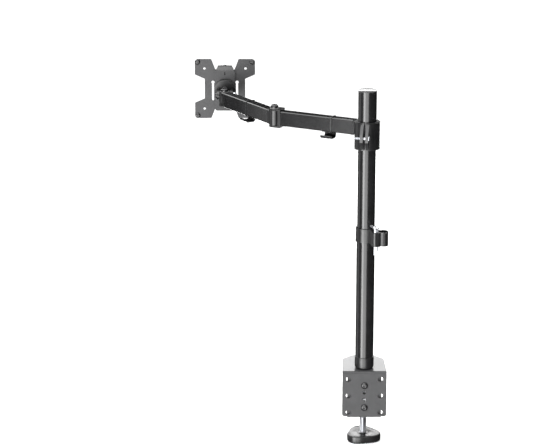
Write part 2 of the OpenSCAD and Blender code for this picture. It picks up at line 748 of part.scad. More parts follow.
function plate_side() = [
  [17.5, notch_z], [25, vesa_half], [vesa_half - 4, vesa_half], [vesa_half, vesa_half - 4],
  [vesa_half, 26.5], [37, 18.5]
];

module plate_outline() offset(r = 1.5, $fn = 32) offset(delta = -1.5) polygon(concat(
  plate_side(),
  [for (i = [5:-1:0]) [plate_side()[i][0], -plate_side()[i][1]]],
  [for (i = [0:5]) [-plate_side()[i][0], -plate_side()[i][1]]],
  [for (i = [5:-1:0]) [-plate_side()[i][0], plate_side()[i][1]]]));

// Screws for the screen: heads on the arm's side, threads standing out towards the screen
module vesa_screws() color("#0b0b0b") plate_frame() for (y = [-50, 50], z = [-50, 50])
  translate([plate_x, y, z]) rotate([0, -90, 0]) {
    difference() {
      button_head(4.8, 3);
      translate([0, 0, 1.4]) cylinder(h = far, r = 1.4, $fn = 6);
    }
    translate([0, 0, -vesa_t]) cylinder(h = vesa_t + eps, r = vesa_shoulder_r);
    translate([0, 0, -vesa_t - vesa_thread]) cylinder(h = vesa_thread + eps, r = vesa_screw_r);
  }

clamp_bracket();
desk_pad();
lower_jaw();
jaw_thread_strip();
jaw_bolts();
screw_nut();
clamp_screw();
clamp_knob();
pressure_plate();
pressure_pad();
pole_foot();
pole_bolt();
pole_tube();
pole_cap();
cable_holder();
hex_key_large();
hex_key_small();
collar_liner();
collar_body();
collar_bolt();
arm1_tube();
arm1_fork();
arm1_screws();
arm1_clip();
elbow_bolt();
elbow_nut();
elbow_washers();
arm2_tongue();
arm2_tube();
arm2_head_fork();
arm2_screws();
arm2_clip();
head_bolt();
head_nut();
head_washers();
head_tongue();
tilt_bracket();
tilt_bolt();
tilt_nut();
tilt_washers();
hub_bolt();
hub_nut();
hub_washer();
hub_bracket();
safety_catch();
catch_screw();
vesa_plate();
vesa_screws();
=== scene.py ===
"""Looks of the monitor arm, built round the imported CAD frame.

Metres, +Z up. The clamp's front plate faces -Y and the desk lies towards +Y.
Profiles and fastener sizes are in millimetres.
"""
import json
import math

import bmesh
import bpy
from mathutils import Matrix, Vector


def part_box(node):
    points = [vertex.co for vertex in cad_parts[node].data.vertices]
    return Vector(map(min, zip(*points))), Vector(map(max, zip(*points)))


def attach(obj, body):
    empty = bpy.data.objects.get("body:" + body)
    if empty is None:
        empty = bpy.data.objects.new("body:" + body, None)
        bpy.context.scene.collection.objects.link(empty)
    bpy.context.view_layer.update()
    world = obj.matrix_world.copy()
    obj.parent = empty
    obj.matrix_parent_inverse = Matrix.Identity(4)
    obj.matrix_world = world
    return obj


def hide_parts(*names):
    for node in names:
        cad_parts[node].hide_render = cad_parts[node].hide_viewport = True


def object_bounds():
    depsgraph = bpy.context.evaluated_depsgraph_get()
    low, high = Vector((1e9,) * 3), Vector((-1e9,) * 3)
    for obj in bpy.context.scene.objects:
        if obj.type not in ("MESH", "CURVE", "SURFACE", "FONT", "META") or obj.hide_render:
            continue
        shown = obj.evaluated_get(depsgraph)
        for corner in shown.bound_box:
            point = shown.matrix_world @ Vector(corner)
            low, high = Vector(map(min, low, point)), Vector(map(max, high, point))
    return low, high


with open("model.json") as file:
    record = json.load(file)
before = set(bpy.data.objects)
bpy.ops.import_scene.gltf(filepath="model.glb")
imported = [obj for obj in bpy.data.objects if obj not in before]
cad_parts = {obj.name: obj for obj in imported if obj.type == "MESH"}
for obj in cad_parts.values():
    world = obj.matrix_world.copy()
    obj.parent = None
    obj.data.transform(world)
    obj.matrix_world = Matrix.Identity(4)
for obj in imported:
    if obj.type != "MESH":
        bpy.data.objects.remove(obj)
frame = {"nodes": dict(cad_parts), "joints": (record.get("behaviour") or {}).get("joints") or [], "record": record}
cad_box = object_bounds()
NODES = frame["nodes"]
RECORD = frame["record"]
BODY = {node: body for body, nodes in RECORD["behaviour"]["bodies"].items() for node in nodes}
SLOT = {part["node"]: part["material_slot"] for part in RECORD["subparts"]}
MOUNT = {mount["name"]: mount for mount in RECORD["mounts"]}
JOINT = {joint["name"]: joint for joint in frame["joints"]}

MM = 0.001
LEFT, RIGHT = Vector((-1, 0, 0)), Vector((1, 0, 0))
FRONT, BACK = Vector((0, -1, 0)), Vector((0, 1, 0))
UP, DOWN = Vector((0, 0, 1)), Vector((0, 0, -1))

# ---------- camera, light and floor ----------

CAMERA_AT = (-0.172, -3.691, 1.3378)
CAMERA_TILT = 73.9            # degrees up from looking straight down
CAMERA_LENS = 150.0           # millimetres, on a sensor of this width
CAMERA_SENSOR = 36.0

SKY = 1.95                    # brightness overhead, which also makes the floor white
SKY_RISE = (0.5, 0.72)        # heights in a unit direction between which the sky brightens
GLOOM = (0.05, 0.01)          # brightness near the horizon, in front and behind
GLOOM_FALL = (0.1, 0.7)       # how far back in a unit direction the first becomes the second

FLOOR_HALF = 20.0
FLOOR_GAP = 1 * MM            # under the knob

SCREEN_FAR = 2.0              # distance of the upright softboxes
SCREEN_MIDDLE = -0.35         # height of their middle
SCREEN_HEIGHT = 1.8
SCREENS = {  # first and last direction in degrees from the front towards the left, brightness
    "key": (27, 49, 13.0),
    "front": (-12, 27, 6.0),
    "back": (155, 185, 2.0),
}
PANELS = {  # place, target, size, brightness
    "left": ((-0.6, 0.15, 0.05), (0.0, 0.15, 0.05), (0.34, 0.8), 0.9),
    "left_top": ((-0.9, 0.7, 0.95), (-0.2, 0.15, 0.45), (0.8, 0.5), 5.0),
    "overhead": ((-0.65, -0.75, 2.0), (0.0, 0.0, 0.2), (2.4, 2.0), 4.0),
    "low_back": ((0.0, 0.5, 0.2), (0.0, 0.0, 0.2), (0.6, 0.24), 8.0),
    "high_back": ((0.0, 0.15, 0.55), (0.0, 0.0, 0.506), (0.12, 0.05), 6.0),
}


def make_camera():
    data = bpy.data.cameras.new("camera")
    data.lens = CAMERA_LENS
    data.sensor_width = CAMERA_SENSOR
    data.clip_start = 0.1
    data.clip_end = 60.0
    camera = bpy.data.objects.new("camera", data)
    camera.location = CAMERA_AT
    camera.rotation_euler = (math.radians(CAMERA_TILT), 0.0, 0.0)
    bpy.context.scene.collection.objects.link(camera)
    bpy.context.scene.camera = camera


def make_world():
    """Bright overhead and dim towards the horizon, darker still behind the object."""
    bpy.context.scene.view_settings.view_transform = "Standard"
    world = bpy.data.worlds.new("studio")
    bpy.context.scene.world = world
    world.use_nodes = True
    tree = world.node_tree
    background = tree.nodes["Background"]
    background.inputs["Color"].default_value = (1.0, 1.0, 1.0, 1.0)
    place = tree.nodes.new("ShaderNodeTexCoord")
    axes = tree.nodes.new("ShaderNodeSeparateXYZ")
    tree.links.new(place.outputs["Generated"], axes.inputs["Vector"])

    def ramp(axis, start, end, low, high):
        span = tree.nodes.new("ShaderNodeMapRange")
        span.interpolation_type = "SMOOTHSTEP"
        span.inputs["From Min"].default_value = start
        span.inputs["From Max"].default_value = end
        span.inputs["To Min"].default_value = low
        span.inputs["To Max"].default_value = high
        tree.links.new(axes.outputs[axis], span.inputs["Value"])
        return span.outputs["Result"]

    total = tree.nodes.new("ShaderNodeMath")
    total.operation = "ADD"
    tree.links.new(ramp("Z", *SKY_RISE, 0.0, SKY), total.inputs[0])
    tree.links.new(ramp("Y", *GLOOM_FALL, *GLOOM), total.inputs[1])
    tree.links.new(total.outputs["Value"], background.inputs["Strength"])


def make_floor():
    """A pale floor under the knob, wide enough to fill every view."""
    half = FLOOR_HALF
    low = cad_box[0].z - FLOOR_GAP
    mesh = bpy.data.meshes.new("floor")
    corners = [(x, y, low) for x, y in ((-half, -half), (half, -half), (half, half), (-half, half))]
    mesh.from_pydata(corners, [], [(0, 1, 2, 3)])
    floor = bpy.data.objects.new("floor", mesh)
    bpy.context.scene.collection.objects.link(floor)
    material = bpy.data.materials.new("floor")
    material.use_nodes = True
    shader = material.node_tree.nodes["Principled BSDF"]
    shader.inputs["Base Color"].default_value = (0.9, 0.9, 0.9, 1.0)
    shader.inputs["Roughness"].default_value = 0.9
    shader.inputs["Specular IOR Level"].default_value = 0.0
    mesh.materials.append(material)
    floor.visible_glossy = False
    floor.visible_shadow = False


def panel(name, at, target, size, brightness):
    """A softbox that faces its target; its brightness doesn't depend on its size."""
    data = bpy.data.lights.new(name, "AREA")
    data.shape = "RECTANGLE"
    data.size, data.size_y = size
    data.energy = brightness * math.pi * size[0] * size[1]
    light = bpy.data.objects.new(name, data)
    light.location = at
    light.rotation_euler = (Vector(target) - Vector(at)).to_track_quat("-Z", "Y").to_euler()
    bpy.context.scene.collection.objects.link(light)
    light.visible_camera = False


def screen(name, first, last, brightness):
    """An upright softbox that fills the space between two directions."""
    half = math.radians(last - first) / 2
    turn = math.radians(first + last) / 2
    at = (-math.sin(turn) * SCREEN_FAR, -math.cos(turn) * SCREEN_FAR, SCREEN_MIDDLE)
    width = 2 * SCREEN_FAR * math.tan(half)
    panel(name, at, (0.0, 0.0, SCREEN_MIDDLE), (width, SCREEN_HEIGHT), brightness)


def make_lights():
    for name, (first, last, brightness) in SCREENS.items():
        screen(name, first, last, brightness)
    for name, (at, target, size, brightness) in PANELS.items():
        panel(name, at, target, size, brightness)


# ---------- materials ----------

CLOUD_SCALE = 45.0            # noise cells per metre
CLOUD_SPAN = (0.35, 0.65)     # noise values at which the darker and the lighter tone are reached
GRAIN_SPAN = (0.3, 0.7)       # noise values at which the ends of the roughness are reached
ROUGHNESS_SPREAD = 0.05
GRAIN_DEPTH = 0.03 * MM
WEAR_REACH = 0.5 * MM         # how far from an edge the wear is seen
WEAR_SPAN = (0.98, 0.8)       # dot product of the real and the rounded normal, plain to worn
WEAR_GAIN, WEAR_LIFT = 3, 0.05


def add_noise(tree, place, scale, detail):
    noise = tree.nodes.new("ShaderNodeTexNoise")
    noise.inputs["Scale"].default_value = scale
    noise.inputs["Detail"].default_value = detail
    tree.links.new(place.outputs["Object"], noise.inputs["Vector"])
    return noise.outputs["Fac"]


def add_span(tree, value, start, end, low, high):
    span = tree.nodes.new("ShaderNodeMapRange")
    span.inputs["From Min"].default_value = start
    span.inputs["From Max"].default_value = end
    span.inputs["To Min"].default_value = low
    span.inputs["To Max"].default_value = high
    tree.links.new(value, span.inputs["Value"])
    return span.outputs["Result"]


def add_mix(tree, factor, first, second):
    mix = tree.nodes.new("ShaderNodeMix")
    mix.data_type = "RGBA"
    tree.links.new(factor, mix.inputs["Factor"])
    for value, socket in ((first, mix.inputs["A"]), (second, mix.inputs["B"])):
        if isinstance(value, tuple):
            socket.default_value = (*value, 1.0)
        else:
            tree.links.new(value, socket)
    return mix.outputs["Result"]


def surface(name, colour, roughness, grain, relief, wear=0.0, metallic=0.0, cloud=0.25,
            specular=0.5):
    """Paint, plating or plastic: a fine grain, soft clouds and edges worn a little lighter.

    The grain is in cells per metre; relief, wear and cloud are shares from 0 to 1.
    """
    material = bpy.data.materials.new(name)
    material.use_nodes = True
    tree = material.node_tree
    shader = tree.nodes["Principled BSDF"]
    shader.inputs["Metallic"].default_value = metallic
    shader.inputs["Specular IOR Level"].default_value = specular
    place = tree.nodes.new("ShaderNodeTexCoord")
    clouds = add_noise(tree, place, CLOUD_SCALE, 4.0)
    fine = add_noise(tree, place, grain, 2.0)
    dark = tuple(channel * (1 - cloud) for channel in colour)
    light = tuple(min(channel * (1 + cloud), 1.0) for channel in colour)
    tone = add_mix(tree, add_span(tree, clouds, *CLOUD_SPAN, 0.0, 1.0), dark, light)
    if wear:
        shape = tree.nodes.new("ShaderNodeNewGeometry")
        rounded = tree.nodes.new("ShaderNodeBevel")
        rounded.samples = 4
        rounded.inputs["Radius"].default_value = WEAR_REACH
        agreement = tree.nodes.new("ShaderNodeVectorMath")
        agreement.operation = "DOT_PRODUCT"
        tree.links.new(shape.outputs["Normal"], agreement.inputs[0])
        tree.links.new(rounded.outputs["Normal"], agreement.inputs[1])
        edges = add_span(tree, agreement.outputs["Value"], *WEAR_SPAN, 0.0, wear)
        worn = tuple(min(channel * WEAR_GAIN + WEAR_LIFT, 1.0) for channel in colour)
        tone = add_mix(tree, edges, tone, worn)
    tree.links.new(tone, shader.inputs["Base Color"])
    least, most = roughness - ROUGHNESS_SPREAD, roughness + ROUGHNESS_SPREAD
    rough = add_span(tree, fine, *GRAIN_SPAN, least, most)
    tree.links.new(rough, shader.inputs["Roughness"])
    bump = tree.nodes.new("ShaderNodeBump")
    bump.inputs["Strength"].default_value = relief
    bump.inputs["Distance"].default_value = GRAIN_DEPTH
    tree.links.new(fine, bump.inputs["Height"])
    tree.links.new(bump.outputs["Normal"], shader.inputs["Normal"])
    return material


MATERIALS = {
    "grey_black_steel": surface("powder_coat", (0.03, 0.03, 0.031), 0.36, 1800, 0.4,
                                wear=0.2, cloud=0.08, specular=0.2),
    "black_tube": surface("tube_paint", (0.006, 0.006, 0.0063), 0.2, 2600, 0.15, wear=0.4),
    "black_casting": surface("casting_paint", (0.005, 0.005, 0.0053), 0.34, 1500, 0.4, wear=0.4),
    "zinc": surface("zinc", (0.5, 0.51, 0.53), 0.33, 3000, 0.15, metallic=1.0, cloud=0.08),
    "black_oxide": surface("black_oxide", (0.005, 0.005, 0.0055), 0.18, 2500, 0.2, wear=0.4),
    "black_plastic": surface("black_plastic", (0.006, 0.006, 0.0063), 0.3, 2000, 0.3, wear=0.3),
    "nylon": surface("nylon", (0.16, 0.16, 0.16), 0.5, 2000, 0.3),
    "pole_cap": surface("pole_cap", (0.03, 0.03, 0.031), 0.22, 2500, 0.1),
    "rubber": surface("rubber", (0.014, 0.014, 0.014), 0.75, 1400, 0.8, specular=0.3),
}


# ---------- making pieces ----------

def finish_mesh(mesh, sharp=35):
    """Outward normals, and smooth shading between sharp edges."""
    shape = bmesh.new()
    shape.from_mesh(mesh)
    bmesh.ops.recalc_face_normals(shape, faces=shape.faces)
    shape.to_mesh(mesh)
    shape.free()
    mesh.shade_smooth()
    mesh.set_sharp_from_angle(angle=math.radians(sharp))


def add_piece(mesh, node, replace=True):
    """Puts a mesh in the scene as part of its CAD node's body, in the node's material."""
    piece = bpy.data.objects.new(mesh.name, mesh)
    bpy.context.scene.collection.objects.link(piece)
    mesh.materials.clear()
    mesh.materials.append(MATERIALS[SLOT[node]])
    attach(piece, BODY[node])
    if replace:
        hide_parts(node)
    return piece


def refined(node, width, segments=3):
    """The CAD shape with its edges rounded, as pressing, casting or moulding leaves them."""
    weld = 0.002 * MM
    flat = math.radians(0.5)
    source = NODES[node].data
    mesh = bpy.data.meshes.new(node + ".made")
    mesh.from_pydata([v.co for v in source.vertices], [], [p.vertices[:] for p in source.polygons])
    shape = bmesh.new()
    shape.from_mesh(mesh)
    bmesh.ops.remove_doubles(shape, verts=shape.verts, dist=weld)
    bmesh.ops.dissolve_limit(shape, angle_limit=flat, verts=shape.verts, edges=shape.edges)
    shape.to_mesh(mesh)
    shape.free()
    finish_mesh(mesh)
    piece = add_piece(mesh, node)
    bevel = piece.modifiers.new("edges", "BEVEL")
    bevel.width = width * MM
    bevel.segments = segments
    bevel.limit_method = "ANGLE"
    bevel.angle_limit = math.radians(32)
    weighted = piece.modifiers.new("normals", "WEIGHTED_NORMAL")
    weighted.keep_sharp = True
    weighted.weight = 100
    return piece


def place(at, axis, toward=None):
    """A matrix whose Z runs along the axis and whose X leans as far as it can toward a direction."""
    z = Vector(axis).normalized()
    if toward is None:
        toward = RIGHT if abs(z.x) < 0.9 else UP
    x = (toward - toward.dot(z) * z).normalized()
    matrix = Matrix((x, z.cross(x), z)).transposed().to_4x4()
    matrix.translation = at
    return matrix


def corner_radius(flats):
    """From a hexagon's middle to its corners."""
    return flats / 2 / math.cos(math.pi / 6)


def hexagon(flats, limit=None):
    """Radius of a hexagon with a corner at angle 0, cut off at a limit."""
    def radius(angle):
        side = flats / 2 / math.cos(angle % (math.pi / 3) - math.pi / 6)
        return side if limit is None else min(side, limit)
    return radius


def turned(name, node, rings, places, segments=48, hollow=False, sharp=35, replace=True):
    """Joins rings of (height, radius) round each place's Z axis; hollow joins the last to the first."""
    points, faces = [], []
    angles = [2 * math.pi * step / segments for step in range(segments)]
    for matrix in places:
        start = len(points)
        for height, outline in rings:
            for angle in angles:
                radius = outline(angle) if callable(outline) else outline
                local = Vector((radius * math.cos(angle), radius * math.sin(angle), height)) * MM
                points.append(matrix @ local)
        for ring in range(len(rings) if hollow else len(rings) - 1):
            here = start + ring * segments
            above = start + (ring + 1) % len(rings) * segments
            for step in range(segments):
                after = (step + 1) % segments
                faces.append((here + step, here + after, above + after, above + step))
        if not hollow:
            faces.append(tuple(start + step for step in reversed(range(segments))))
            faces.append(tuple(start + (len(rings) - 1) * segments + step for step in range(segments)))
    mesh = bpy.data.meshes.new(name)
    mesh.from_pydata(points, [], faces)
    finish_mesh(mesh, sharp)
    return add_piece(mesh, node, replace)


def thread(radius, pitch, low, high, free_low=True, free_high=False):
    """Rings of a right-handed thread, with its free ends chamfered."""
    depth = 0.55 * pitch
    steps_per_turn = 6
    count = math.ceil((high - low) / pitch * steps_per_turn)

    def ring(height, limit):
        def outline(angle):
            phase = (height / pitch - angle / (2 * math.pi)) % 1.0
            groove = max(0.0, 1.15 * (1 - abs(2 * phase - 1)) - 0.15)
            return min(radius - depth * groove, limit)
        return outline

    rings = []
    for step in range(count + 1):
        height = low + (high - low) * step / count
        from_low = height - low if free_low else depth
        from_high = high - height if free_high else depth
        limit = radius - depth + min(from_low, from_high, depth)
        rings.append((height, ring(height, limit)))
    return rings


def dome(radius, height, flats, depth):
    """A button head from its seat at height 0, over the dome and down into its hex socket."""
    rim = corner_radius(flats) + 0.35
    side = 0.28 * height
    under, countersink, steps = 0.15, 0.3, 6
    rings = [(0, radius - under), (under, radius), (side, radius)]
    for step in range(1, steps + 1):
        turn = math.pi / 2 * step / steps
        rise, reach = math.sin(turn), math.cos(turn)
        rings.append((side + (height - side) * rise, rim + (radius - rim) * reach))
    rings += [(height - countersink, hexagon(flats)), (height - depth, hexagon(flats))]
    return rings


def hollow_ring(outer, inner, height, edge):
    """A washer or a tube with small chamfers."""
    return [(0, outer - edge), (edge, outer), (height - edge, outer), (height, outer - edge),
            (height, inner + edge), (height - edge, inner), (edge, inner), (0, inner + edge)]


def nut(flats, height, bore):
    """A hex nut, its corners chamfered above and below and its bore countersunk."""
    face = flats / 2 - 0.1
    corner = corner_radius(flats)
    slope, sink, steps = 0.58, 0.4, 3
    rings = []
    for step in range(steps + 1):
        limit = face + (corner - face) * step / steps
        rings.append(((limit - face) * slope, hexagon(flats, limit)))
    upper = [(height - z, outline) for z, outline in reversed(rings)]
    inside = [(height, bore + sink), (height - sink, bore), (sink, bore), (0, bore + sink)]
    return rings + upper + inside


def extent(node):
    """A node's width, depth and height in millimetres."""
    low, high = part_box(node)
    return [(high[axis] - low[axis]) / MM for axis in range(3)]


def middle(node):
    low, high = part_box(node)
    return (low + high) / 2


def foot(node):
    """The middle of a node's underside."""
    centre = middle(node)
    return Vector((centre.x, centre.y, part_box(node)[0].z))


# ---------- clamp ----------

def make_clamp_screw():
    """A threaded rod, plain in the knob and thinner in the pressure plate."""
    width, _, length = extent("clamp_screw")
    radius = width / 2
    pitch, in_knob, in_plate = 1.75, 10.5, 6.0
    neck, tip = radius - 1.1, radius - 1.6
    rings = [(0, radius - 0.4), (0.4, radius), (in_knob - 0.5, radius)]
    rings += thread(radius, pitch, in_knob, length - in_plate, free_low=False, free_high=True)
    rings += [(length - in_plate + 0.3, neck), (length - 0.6, neck), (length, tip)]
    turned("clamp_screw.made", "clamp_screw", rings, [place(foot("clamp_screw"), UP)])


def make_clamp_knob():
    """Three lobes with rounded rims, a dished top and a collar round the screw."""
    axis = middle("clamp_screw")
    at = (axis.x, axis.y, foot("clamp_knob").z)
    height = extent("clamp_knob")[2]
    tip, waist, turn = 32.0, 26.0, math.radians(102)
    bore = extent("clamp_screw")[0] / 2 + 0.02
    low_round, high_round = 1.8, 3.2

    def lobes(inset):
        def outline(angle):
            return (tip + waist) / 2 - inset + (tip - waist) / 2 * math.cos(3 * (angle - turn))
        return outline

    rings = [(1.6, 8.0), (1.6, lobes(6.5)), (0.3, lobes(5.0)), (0.0, lobes(3.6))]
    for step in range(1, 5):
        rise, reach = math.cos(math.pi / 2 * step / 4), math.sin(math.pi / 2 * step / 4)
        rings.append((low_round * (1 - rise), lobes(low_round * (1 - reach))))
    for step in range(7):
        rise, reach = math.sin(math.pi / 2 * step / 6), math.cos(math.pi / 2 * step / 6)
        rings.append((height - high_round * (1 - rise), lobes(2.6 * (1 - reach))))
    rings += [(height - 0.1, lobes(3.6)), (height - 1.0, lobes(5.0)), (height - 1.1, lobes(6.2))]
    rings += [(height - 1.1, 11.2), (height - 0.8, 10.6), (height - 0.3, 9.8), (height, 9.2)]
    rings += [(height, bore + 0.5), (height - 0.5, bore), (3.0, bore)]
    turned("clamp_knob.made", "clamp_knob", rings, [place(at, UP)], segments=144, sharp=40)


def make_pressure_foot():
    """A disc with a hollow boss, and the grooved rubber pad on it."""
    width, _, total = extent("pressure_plate")
    outer = width / 2
    boss, boss_h, bore = 9.0, 3.0, 6.05
    rings = [(boss_h, bore), (0, bore), (0, boss - 0.4), (0.4, boss), (boss_h, boss + 0.1)]
    rings += [(boss_h, outer - 1.2), (boss_h + 0.35, outer - 0.4), (boss_h + 1.2, outer)]
    rings += [(total - 0.5, outer), (total, outer - 0.5)]
    at = foot("pressure_plate")
    turned("pressure_plate.made", "pressure_plate", rings, [place(at, UP)], segments=96)
    width, _, thick = extent("pressure_pad")
    outer, groove_depth = width / 2, 0.5
    rings = [(0, outer - 0.2), (0.2, outer), (thick - 0.4, outer), (thick, outer - 0.4)]
    for groove in range(5):
        radius = outer - 3.2 * (groove + 1)
        rings += [(thick, radius + 0.7), (thick - groove_depth, radius + 0.35)]
        rings += [(thick - groove_depth, radius - 0.35), (thick, radius - 0.7)]
    at = (at.x, at.y, foot("pressure_pad").z)
    turned("pressure_pad.made", "pressure_pad", rings, [place(at, UP)], segments=96)


def make_jaw_fasteners():
    """Two button heads in the front plate, one above the other, and the clamp screw's nut."""
    low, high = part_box("jaw_bolts")
    head, head_h, shank = 6.0, 3.5, 3.0
    seat = low.y + head_h * MM
    reach = (high.y - seat) / MM
    rings = thread(shank, 1.0, -reach, -0.6) + [(-0.3, shank), (0, shank)]
    rings += dome(head, head_h, 4.0, 2.5)
    x = middle("jaw_bolts").x
    places = [place((x, seat, z), FRONT) for z in (low.z + head * MM, high.z - head * MM)]
    turned("jaw_bolts.made", "jaw_bolts", rings, places)
    rings = nut(19, extent("screw_nut")[2], 6.05)
    turned("screw_nut.made", "screw_nut", rings, [place(foot("screw_nut"), UP)], hollow=True)


# ---------- pole ----------

def make_pole():
    """The tube, the cap and the foot that plug its ends, and the bolt up into the foot."""
    width, _, height = extent("pole_tube")
    radius = width / 2
    wall = 1.8
    inner = radius - wall
    axis = middle("pole_tube")

    def upward(node):
        return [place((axis.x, axis.y, foot(node).z), UP)]

    rings = hollow_ring(radius, inner, height, 0.25)
    turned("pole_tube.made", "pole_tube", rings, upward("pole_tube"), segments=128, hollow=True)
    total, lip = extent("pole_cap")[2], 1.5
    plug = total - lip
    rings = [(0, inner - 1.2), (1.2, inner - 0.05), (plug, inner - 0.05), (plug, radius - 0.15)]
    rings += [(plug + 0.15, radius), (total - 0.3, radius)]
    rings += [(total - 0.1, radius - 0.1), (total, radius - 0.3)]
    turned("pole_cap.made", "pole_cap", rings, upward("pole_cap"), segments=128)
    flare, band, total = 3.0, 22.0, extent("pole_foot")[2]
    bore, bore_h = 5.02, 30
    rings = [(bore_h, bore), (0, bore), (0, radius - 1.5), (0.3, radius - 1.2)]
    rings += [(flare - 0.6, radius + 0.4), (flare, radius + 0.65), (flare + 0.8, radius + 0.8)]
    rings += [(band - 0.7, radius + 0.8)]
    rings += [(band - 0.2, radius + 0.55), (band, radius + 0.1), (band, inner - 0.05)]
    rings += [(total - 1.5, inner - 0.05), (total, inner - 1.5)]
    turned("pole_foot.made", "pole_foot", rings, upward("pole_foot"), segments=128)
    shank, head, head_h, length = 5.0, 8.0, 3.0, extent("pole_bolt")[2]
    rings = thread(shank, 1.5, -length, -head_h - 1)
    rings += [(-head_h, shank), (-0.3, head - 0.1), (0, head - 0.3)]
    rings += [(0, hexagon(6.2)), (-0.2, hexagon(6.0)), (-2.4, hexagon(6.0))]
    at = (axis.x, axis.y, foot("pole_bolt").z)
    turned("pole_bolt.made", "pole_bolt", rings, [place(at, DOWN)])


# ---------- cable holder and its keys ----------

RING_AXIS = (28.5, -28.0)           # the cable ring's axis, seen from above
RING_RADIUS = 9.2
RIB_TURNS = range(226, 287, 20)     # degrees round the ring


def make_grip_ribs():
    """Upright ribs on the front of the cable ring."""
    rib, end, taper = 0.55, 1.5, 0.25
    low = foot("cable_holder").z / MM + end
    height = extent("cable_holder")[2] - 2 * end
    rings = [(0, rib - taper), (taper, rib), (height - taper, rib), (height, rib - taper)]
    places = []
    for turn in RIB_TURNS:
        x = RING_AXIS[0] + RING_RADIUS * math.cos(math.radians(turn))
        y = RING_AXIS[1] + RING_RADIUS * math.sin(math.radians(turn))
        places.append(place(Vector((x, y, low)) * MM, UP))
    turned("grip_ribs.made", "cable_holder", rings, places, segments=16, replace=False)


KEYS = {  # place, width across flats, length below the bend, reach of the short arm, its direction
    "hex_key_large": ((14.2, -36.0), 4.0, 44.0, 15.0, 115),
    "hex_key_small": ((19.2, -35.2), 2.5, 36.0, 12.0, 80),
}


def make_hex_key(node):
    """An L-shaped key: its hexagon follows the leg, a quarter turn and the short arm."""
    (x, y), flats, drop, reach, turn = KEYS[node]
    bend = flats
    aim = math.radians(turn)
    corner = corner_radius(flats)
    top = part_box(node)[1].z / MM - corner - bend
    start = Vector((x, y, top))
    away = Vector((math.cos(aim), math.sin(aim), 0))
    side = away.cross(UP)
    chamfer = 0.3
    end_scale = 1 - 2 * chamfer / flats
    stations = [(start - drop * UP, UP, end_scale), (start - (drop - chamfer) * UP, UP, 1)]
    for step in range(9):
        angle = math.pi / 2 * step / 8
        spot = start + bend * ((1 - math.cos(angle)) * away + math.sin(angle) * UP)
        stations.append((spot, math.cos(angle) * UP + math.sin(angle) * away, 1))
    arm = start + bend * UP
    stations.append((arm + (reach - chamfer) * away, away, 1))
    stations.append((arm + reach * away, away, end_scale))
    points, faces = [], []
    for spot, heading, scale in stations:
        across = side.cross(heading).normalized()
        for step in range(6):
            angle = math.pi / 3 * step
            offset = corner * scale * (math.cos(angle) * across + math.sin(angle) * side)
            points.append((spot + offset) * MM)
    for ring in range(len(stations) - 1):
        for step in range(6):
            after = (step + 1) % 6
            here = ring * 6
            faces.append((here + step, here + after, here + 6 + after, here + 6 + step))
    faces.append(tuple(reversed(range(6))))
    faces.append(tuple(range(len(points) - 6, len(points))))
    mesh = bpy.data.meshes.new(node + ".made")
    mesh.from_pydata(points, [], faces)
    finish_mesh(mesh, sharp=30)
    add_piece(mesh, node)


# ---------- arms ----------

EAR_DIR = math.radians(258)      # the collar's ears, seen from above
COLLAR_BOLT = (27.0, 427.0)      # reach from the pole's axis, and height


def make_collar_bolt():
    """A button head against the right ear and bare thread out of the left one."""
    reach, height = COLLAR_BOLT
    across = Vector((-math.sin(EAR_DIR), math.cos(EAR_DIR), 0))
    at = Vector((reach * math.cos(EAR_DIR), reach * math.sin(EAR_DIR), height)) * MM
    half, end, shank = 7.2, 9.0, 2.5
    thread_top = -2 * half + 4
    rings = thread(shank, 0.8, -2 * half - end, thread_top)
    rings += [(thread_top + 0.3, shank), (0, shank)] + dome(5.0, 2.6, 3.0, 1.6)
    seat = at + half * MM * across
    turned("collar_bolt.made", "collar_bolt", rings, [place(seat, across)], segments=36)


def make_pivot(name, along):
    """A swivel's bolt, its sunk nut and its three washers: two round the tongue, one under the head."""
    bolt, nut_node, washers = name + "_bolt", name + "_nut", name + "_washers"
    low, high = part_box(bolt)
    head_r, head_h, shank = extent(bolt)[0] / 2, 5.5, 4.0
    bore = shank + 0.02
    at = Vector((middle(bolt).x, middle(bolt).y, high.z - head_h * MM))
    length = (at.z - low.z) / MM
    threaded = 9
    rings = thread(shank, 1.25, -length, threaded - length)
    rings += [(threaded + 0.4 - length, shank), (0, shank)] + dome(head_r, head_h, 5.2, 3.0)
    turned(bolt + ".made", bolt, rings, [place(at, UP)])
    width, _, height = extent(nut_node)
    if name == "elbow":
        rings = hollow_ring(width / 2, bore, height, 0.3)
    else:
        rings = nut(13, height, bore)
    spot = (at.x, at.y, foot(nut_node).z)
    turned(nut_node + ".made", nut_node, rings, [place(spot, UP, along)], hollow=True)
    friction_r, plain_r, friction_t, plain_t = 8.5, 8.0, 0.45, 0.8
    mid = Vector((at.x, at.y, JOINT[name + "_swivel"]["pos_m"][2]))
    tongue = mid.z - foot(washers).z - friction_t * MM
    friction = hollow_ring(friction_r, bore, friction_t, 0.1)
    places = [place(mid + tongue * UP, UP), place(mid - tongue * UP, DOWN)]
    turned(washers + ".made0", washers, friction, places, hollow=True)
    plain = hollow_ring(plain_r, bore, plain_t, 0.15)
    places = [place(at - plain_t * MM * UP, UP)]
    turned(washers + ".made1", washers, plain, places, hollow=True, replace=False)


def make_tube_screws(node):
    """Two low-headed screws up into an arm's underside."""
    low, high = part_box(node)
    head_r, head_h, shank = 3.5, 2.0, 2.0
    seat = low.z + head_h * MM
    edge = head_r * MM
    spots = [(high.x - edge, low.y + edge, seat), (low.x + edge, high.y - edge, seat)]
    length = 8.0
    rings = thread(shank, 0.7, -length, -0.2) + [(-0.1, shank), (0, shank)]
    rings += dome(head_r, head_h, 2.5, 1.2)
    turned(node + ".made", node, rings, [place(spot, DOWN) for spot in spots], segments=36)


# ---------- head ----------

